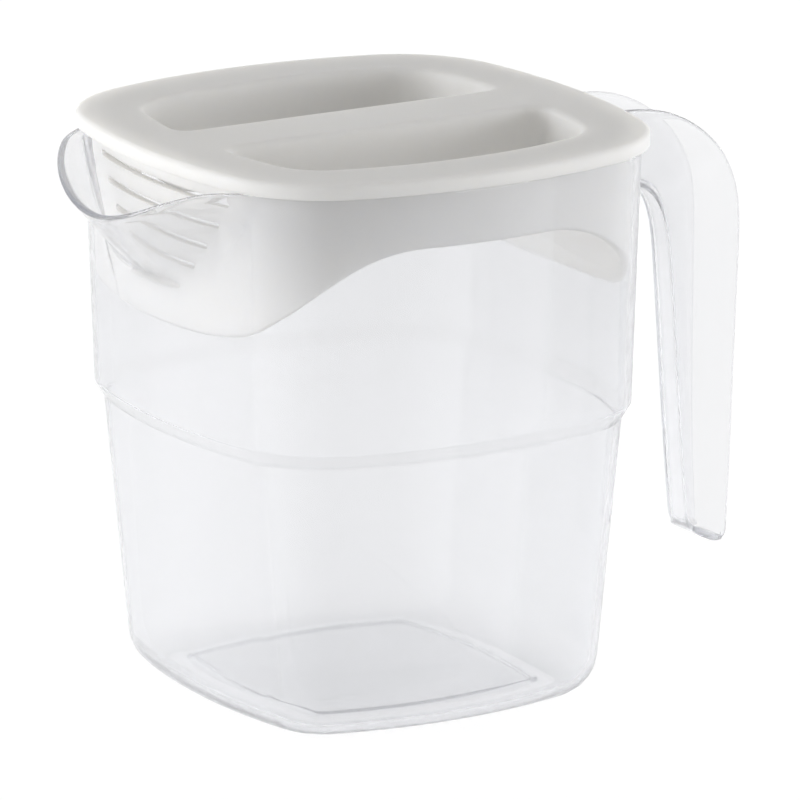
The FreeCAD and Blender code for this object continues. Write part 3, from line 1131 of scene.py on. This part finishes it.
# The lid's moulding
@dataclass
class Lid:
    """White lid: plate with two grip wells beside a bar, and a waved skirt with slots."""

    plan: Plan
    body: JugBody
    top: float
    skin: float = 2.0
    fit_gap: float = 0.3
    plate_round: float = 1.4
    under_round: float = 0.5
    plate_lap: float = 0.2
    well_margin: float = 17.4
    bar_width: float = 21.0
    well_depth: float = 16.0
    well_draft: float = 2.5
    well_corner: float = 5.0
    well_floor_round: float = 3.5
    well_edge_round: float = 1.8
    skirt_shallow: float = 19.2
    skirt_deep: float = 45.5
    slot_height: float = 1.6
    slot_first: float = 9.0
    slot_pitch: float = 6.25
    slot_clear: float = 0.2
    slot_halves: tuple[float, ...] = (32.0, 28.0, 23.0, 17.5, 11.0)
    slot_rows: tuple[float, ...] = (1.0, 0.7, 0.0, -0.7, -1.0)
    between_rows: int = 3
    below_rows: int = 8
    well_entry: float = 2.0
    well_flat: float = 6.0
    cup_edge_round: float = 0.6
    centre_rows: int = 5
    face_rows: int = 3
    edge_steps: int = 6
    longest: float = 3.0
    line_steps: int = 70
    wave: tuple[tuple[float, float], ...] = (
        (0.0, 0.0), (0.30, 0.0), (0.44, 0.06), (0.56, 0.19), (0.665, 0.375),
        (0.74, 0.55), (0.82, 0.77), (0.865, 0.91), (0.91, 0.985), (1.0, 1.0), (1.2, 1.0),
    )

    def skirt_grow(self, z: np.ndarray) -> np.ndarray:
        """Offset of the skirt's outer face: the jug's inner face less the clearance."""
        return self.body.upper_grow(z) - self.body.wall - self.fit_gap

    def skirt_edge(self) -> np.ndarray:
        """Height of the skirt's lower edge round the loop.

        Formula: shallow edge less the fall times a smooth curve of |x| over the half length.
        """
        grow = self.skirt_grow(self.top - self.skirt_deep)
        share = np.abs(self.plan.moved(grow)[:, 0]) / self.plan.half_x
        points = np.array(self.wave)
        fall = spline(points[:, 0], points[:, 1:], share)[:, 0]
        drop = self.skirt_deep - self.skirt_shallow
        return self.top - (self.skirt_shallow + drop * np.clip(fall, 0.0, 1.0))

    def skirt_rows(self) -> tuple[np.ndarray, np.ndarray]:
        """Heights of the skirt's rows at its deepest place.

        Returns:
            The heights, from the plate down, and for each row the slot it borders on or -1.
        """
        low = self.top - self.skirt_deep + self.skin / 2.0
        radius = self.slot_height / 2.0
        turn = np.array(self.slot_rows)
        heights = [np.array([self.body.rim])]
        owners = [np.array([-1])]
        for index in range(len(self.slot_halves)):
            centre = self.top - self.slot_first - self.slot_pitch * index
            gap = np.linspace(heights[-1][-1], centre + radius, self.between_rows + 2)[1:-1]
            heights += [gap, centre + radius * turn]
            owners += [np.full(self.between_rows, -1), np.full(len(turn), index)]
        heights.append(np.linspace(heights[-1][-1], low, self.below_rows + 1)[1:])
        owners.append(np.full(self.below_rows, -1))
        return np.concatenate(heights), np.concatenate(owners)

    def skirt_face(self, inset: float) -> np.ndarray:
        """One face of the skirt, with columns drawn to the slots' round ends.

        Formula: row heights shrink evenly from the deep edge to the local edge; the offset
        follows the jug's wall; in a slot's rows the end column lies at half length plus
        radius * cos a, moved along the side's arc.

        Args:
            inset: distance inside the skirt's outer face.

        Returns:
            Points, rows by columns by 3.
        """
        heights, owners = self.skirt_rows()
        edge = self.skirt_edge() + self.skin / 2.0
        share = (heights - heights[-1]) / (heights[0] - heights[-1])
        z = edge + (heights[0] - edge) * share[:, None]
        grow = self.skirt_grow(z) - inset
        x, y = np.moveaxis(self.plan.moved(grow), -1, 0)
        radius = self.slot_height / 2.0
        middle = self.plan.middle
        for index, half in enumerate(self.slot_halves):
            rows = np.flatnonzero(owners == index)
            offset = self.slot_offset(half)
            centre = heights[rows[len(rows) // 2]]
            sine = np.clip((heights[rows] - centre) / radius, -1.0, 1.0)
            place = half + radius * np.sqrt(1.0 - sine ** 2)
            for column, side in ((middle - offset, 1.0), (middle + offset, -1.0)):
                y[rows, column] = place * side
                x[rows, column] = -self.plan.side_at(place, grow[rows, column])
        return np.stack([x, y, z], axis=-1)

    def slot_offset(self, half: float) -> int:
        """Number of columns from the middle of the spout's side to a slot's end."""
        middle = self.plan.middle
        grow = self.skirt_grow(self.body.rim) - self.skin
        y = self.plan.moved(grow)[middle - self.plan.side_steps:middle + 1, 1][::-1]
        clear = half + self.slot_height / 2.0 + self.slot_clear
        return int(np.argmax(y > clear)) - 1

    def skirt_holes(self) -> list[tuple[slice, slice]]:
        """Rows and columns of quads that each slot leaves out."""
        owners = self.skirt_rows()[1]
        middle = self.plan.middle
        found = []
        for index, half in enumerate(self.slot_halves):
            rows = np.flatnonzero(owners == index)
            offset = self.slot_offset(half)
            found.append((slice(rows[0], rows[-1]), slice(middle - offset, middle + offset)))
        return found

    @staticmethod
    def hole_loop(index: np.ndarray, low: int, high: int, columns: slice) -> np.ndarray:
        """Indices of the vertices round a hole, from row low to row high and back.

        Args:
            index: vertex indices, rows by columns.
            low: row on one side of the hole.
            high: row on the other side, before or after it.
            columns: columns of the quads left out.

        Returns:
            The closed loop of indices.
        """
        step = 1 if high > low else -1
        down = np.arange(low, high + step, step)
        across = np.arange(columns.start, columns.stop + 1)
        return np.concatenate([
            index[low, across[:-1]],
            index[down[:-1], across[-1]],
            index[high, across[:0:-1]],
            index[down[:0:-1], across[0]],
        ])

    def ring(self, profile: np.ndarray) -> np.ndarray:
        """Rows of the plan moved out by each profile offset, at each profile height."""
        flat = self.plan.moved(profile[:, :1])
        z = np.repeat(profile[:, 1:], flat.shape[1], axis=1)[..., None]
        return np.concatenate([flat, z], axis=-1)

    def half_rim(self, grow: float, z: float) -> np.ndarray:
        """Loop of half the plate: the outline's upper half, and back along the middle."""
        points = self.plan.moved(grow)[:self.plan.middle + 1]
        end = points[0, 0]
        line = np.linspace(-end, end, self.line_steps + 1)[1:-1]
        back = np.stack([line, np.zeros_like(line)], axis=1)
        loop = np.concatenate([points, back])
        return np.concatenate([loop, np.full((len(loop), 1), z)], axis=1)

    def well_rows(self, wall: float, rim_z: float, floor_z: float, edge: float) -> np.ndarray:
        """Rows of one well, or of the cup round it, from its rim to the middle of its floor.

        Args:
            wall: 0 for the well, or the wall's thickness for the cup.
            rim_z: height of the rim.
            floor_z: height of the floor.
            edge: radius of the rim's rounding.

        Returns:
            Points, rows by columns by 3.
        """
        rim = wall - self.well_margin
        line = self.bar_width / 2.0 - wall
        lean = self.well_draft / self.well_depth
        floor = rim - lean * (self.top - floor_z)
        top = rim - lean * (self.top - rim_z)
        profile = rounded([
            (top + self.well_entry, rim_z, 0.0),
            (top, rim_z, edge),
            (floor, floor_z, self.well_floor_round + wall / 2.0),
            (floor - self.well_flat, floor_z, 0.0),
        ])
        rows = []
        for grow, z in divided(profile, self.longest):
            loop = self.plan.well(grow, line + rim - grow, self.well_corner + wall, self.line_steps)
            rows.append(np.concatenate([loop, np.full((len(loop), 1), z)], axis=1))
        last = rows[-1]
        centre = last.mean(axis=0)
        share = np.linspace(1.0, 0.0, self.centre_rows + 1)[1:, None, None]
        inner = centre + (last - centre) * share
        return np.concatenate([np.stack(rows), inner])

    def half_face(self, rim: np.ndarray, well: np.ndarray) -> np.ndarray:
        """Plate face between half the plate's rim and a well, then the well itself."""
        share = np.linspace(0.0, 1.0, self.face_rows + 1)[:-1, None, None]
        return np.concatenate([rim + (well[0] - rim) * share, well])

    def build(self, axis_x: float, material: bpy.types.Material) -> bpy.types.Object:
        """Make the lid.

        Args:
            axis_x: place of the jug's axis in metres.
            material: white finish.

        Returns:
            The lid's object.
        """
        rim = self.body.rim
        meets = float(self.skirt_grow(rim))
        plate = rounded([
            (-self.plate_round - self.plate_lap, self.top, 0.0),
            (0.0, self.top, self.plate_round),
            (0.0, rim, self.under_round),
            (meets, rim, 0.0),
        ])
        outer = self.skirt_face(0.0)
        inner = self.skirt_face(self.skin)
        edge = rolled(outer[-1], inner[-1], self.edge_steps, 2, -self.skin / 2.0)
        under = self.top - self.skin
        ceiling = self.ring(np.array([[float(self.skirt_grow(under)) - self.skin, under]]))
        parts = [self.ring(plate)[:-1], outer, edge, inner[::-1], ceiling]
        points = np.concatenate(parts)
        holes = np.zeros((len(points) - 1, points.shape[1]), dtype=bool)
        first = len(plate) - 1
        last = first + len(outer) + len(edge) + len(inner) - 1
        for rows, columns in self.skirt_holes():
            holes[first + rows.start:first + rows.stop, columns] = True
            holes[last - rows.stop:last - rows.start, columns] = True
        shell = Shell("lid", axis_x)
        index = shell.grid(points, holes)
        for rows, columns in self.skirt_holes():
            shell.strip(
                self.hole_loop(index, first + rows.start, first + rows.stop, columns),
                self.hole_loop(index, last - rows.start, last - rows.stop, columns),
            )
        upper = self.half_face(
            self.half_rim(float(plate[0, 0]), self.top),
            self.well_rows(0.0, self.top, self.top - self.well_depth, self.well_edge_round),
        )
        lower = self.half_face(
            self.half_rim(float(self.skirt_grow(under)) - self.skin, under),
            self.well_rows(
                self.skin, under, self.top - self.well_depth - self.skin, self.cup_edge_round,
            ),
        )
        for face in (upper, lower):
            shell.grid(face)
            shell.grid(face * (1.0, -1.0, 1.0))
        return shell.build(material, Slot.WHITE)


# Studio
def direction(azimuth: float, elevation: float) -> Vector:
    """Unit vector towards an azimuth, from -Y over +X, and an elevation, both in degrees."""
    turn = math.radians(azimuth)
    rise = math.radians(elevation)
    level = math.cos(rise)
    return Vector((math.sin(turn) * level, -math.cos(turn) * level, math.sin(rise)))


@dataclass(frozen=True)
class Lamp:
    """Soft square lamp that points at the jug, mirrored in its surfaces only where asked."""

    name: str
    azimuth: float
    elevation: float
    distance: float
    size: float
    power: float
    mirrored: bool = False

    def build(self, target: Vector) -> None:
        """Put the lamp in the scene, turned to the target."""
        light = bpy.data.lights.new(self.name, "AREA")
        light.energy = self.power
        light.size = self.size
        light.shape = "SQUARE"
        away = direction(self.azimuth, self.elevation)
        lamp = bpy.data.objects.new(self.name, light)
        lamp.location = target + away * self.distance
        lamp.rotation_euler = (-away).to_track_quat("-Z", "Y").to_euler()
        lamp.visible_glossy = self.mirrored
        lamp.visible_transmission = False
        bpy.context.scene.collection.objects.link(lamp)


@dataclass
class Studio:
    """Floor, white ground, soft lamps and the camera."""

    ambient: float = 0.52
    floor_half: float = 6.0
    azimuth: float = -30.62
    elevation: float = 14.85
    distance: float = 2.577
    lens: float = 452.2
    aim_right: float = 0.0098
    aim_down: float = 0.0153
    aim_height: float = 0.09
    sensor: float = 36.0
    farthest: float = 50.0
    lamps: tuple[Lamp, ...] = (
        Lamp("left_soft", -112.0, 9.0, 1.3, 0.7, 19.0),
        Lamp("right_soft", 66.0, 8.0, 1.4, 0.6, 15.0),
        Lamp("front_soft", 29.0, 2.0, 1.5, 0.5, 3.6, True),
        Lamp("back_soft", 160.0, 8.0, 1.5, 0.6, 9.0),
    )

    def world(self) -> None:
        """Even soft light, seen as plain white."""
        world = bpy.data.worlds.new("studio")
        bpy.context.scene.world = world
        world.use_nodes = True
        graph = Graph(world.node_tree)
        level = self.ambient + (1.0 - self.ambient) * graph.seen()
        light = graph.add("ShaderNodeBackground", {}, {"Strength": level})
        graph.add("ShaderNodeOutputWorld", {}, {"Surface": light})

    def floor(self) -> None:
        """Flat square floor at height zero."""
        edge = self.floor_half
        corners = [(-edge, -edge, 0.0), (edge, -edge, 0.0), (edge, edge, 0.0), (-edge, edge, 0.0)]
        mesh = bpy.data.meshes.new("floor")
        mesh.from_pydata(corners, [], [(0, 1, 2, 3)])
        mesh.materials.append(FloorFinish().build())
        floor = bpy.data.objects.new("floor", mesh)
        bpy.context.scene.collection.objects.link(floor)

    def camera(self, axis_x: float) -> None:
        """Camera at the viewing angle, aimed beside the jug's axis.

        Args:
            axis_x: place of the jug's axis in metres.
        """
        turn = math.radians(self.azimuth)
        away = direction(self.azimuth, self.elevation)
        right = Vector((math.cos(turn), math.sin(turn), 0.0))
        up = right.cross(-away)
        aim = Vector((axis_x, 0.0, self.aim_height)) + right * self.aim_right - up * self.aim_down
        data = bpy.data.cameras.new("camera")
        data.lens = self.lens
        data.sensor_width = self.sensor
        data.clip_end = self.farthest
        camera = bpy.data.objects.new("camera", data)
        camera.location = aim + away * self.distance
        camera.rotation_euler = (-away).to_track_quat("-Z", "Y").to_euler()
        bpy.context.scene.collection.objects.link(camera)
        bpy.context.scene.camera = camera

    def build(self, axis_x: float) -> None:
        """Make the whole studio."""
        self.world()
        self.floor()
        for lamp in self.lamps:
            lamp.build(Vector((axis_x, 0.0, self.aim_height)))
        self.camera(axis_x)
        bpy.context.scene.view_settings.view_transform = "Standard"


def main() -> None:
    """Build the jug, its lid and the studio."""
    logging.basicConfig(level=logging.INFO, format="%(name)s: %(message)s")
    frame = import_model()
    lid_low, lid_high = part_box("lid")
    jug_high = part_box("jug")[1]
    axis_x = (lid_low.x + lid_high.x) / 2.0
    plan = Plan((lid_high.x - lid_low.x) / 2.0 / MM, (lid_high.y - lid_low.y) / 2.0 / MM)
    clear = ClearPlastic().build()
    white = WhitePlastic().build()
    body = JugBody(plan, jug_high.z / MM)
    jug = body.build(axis_x, clear)
    handle = Handle(plan, body).build(axis_x, clear)
    lid = Lid(plan, body, lid_high.z / MM).build(axis_x, white)
    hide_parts("jug")
    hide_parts("jug")
    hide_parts("lid")
    for node, material in (("jug", clear), ("lid", white)):
        frame["nodes"][node].data.materials.clear()
        frame["nodes"][node].data.materials.append(material)
    Studio().build(axis_x)


if __name__ == "__main__":
    main()
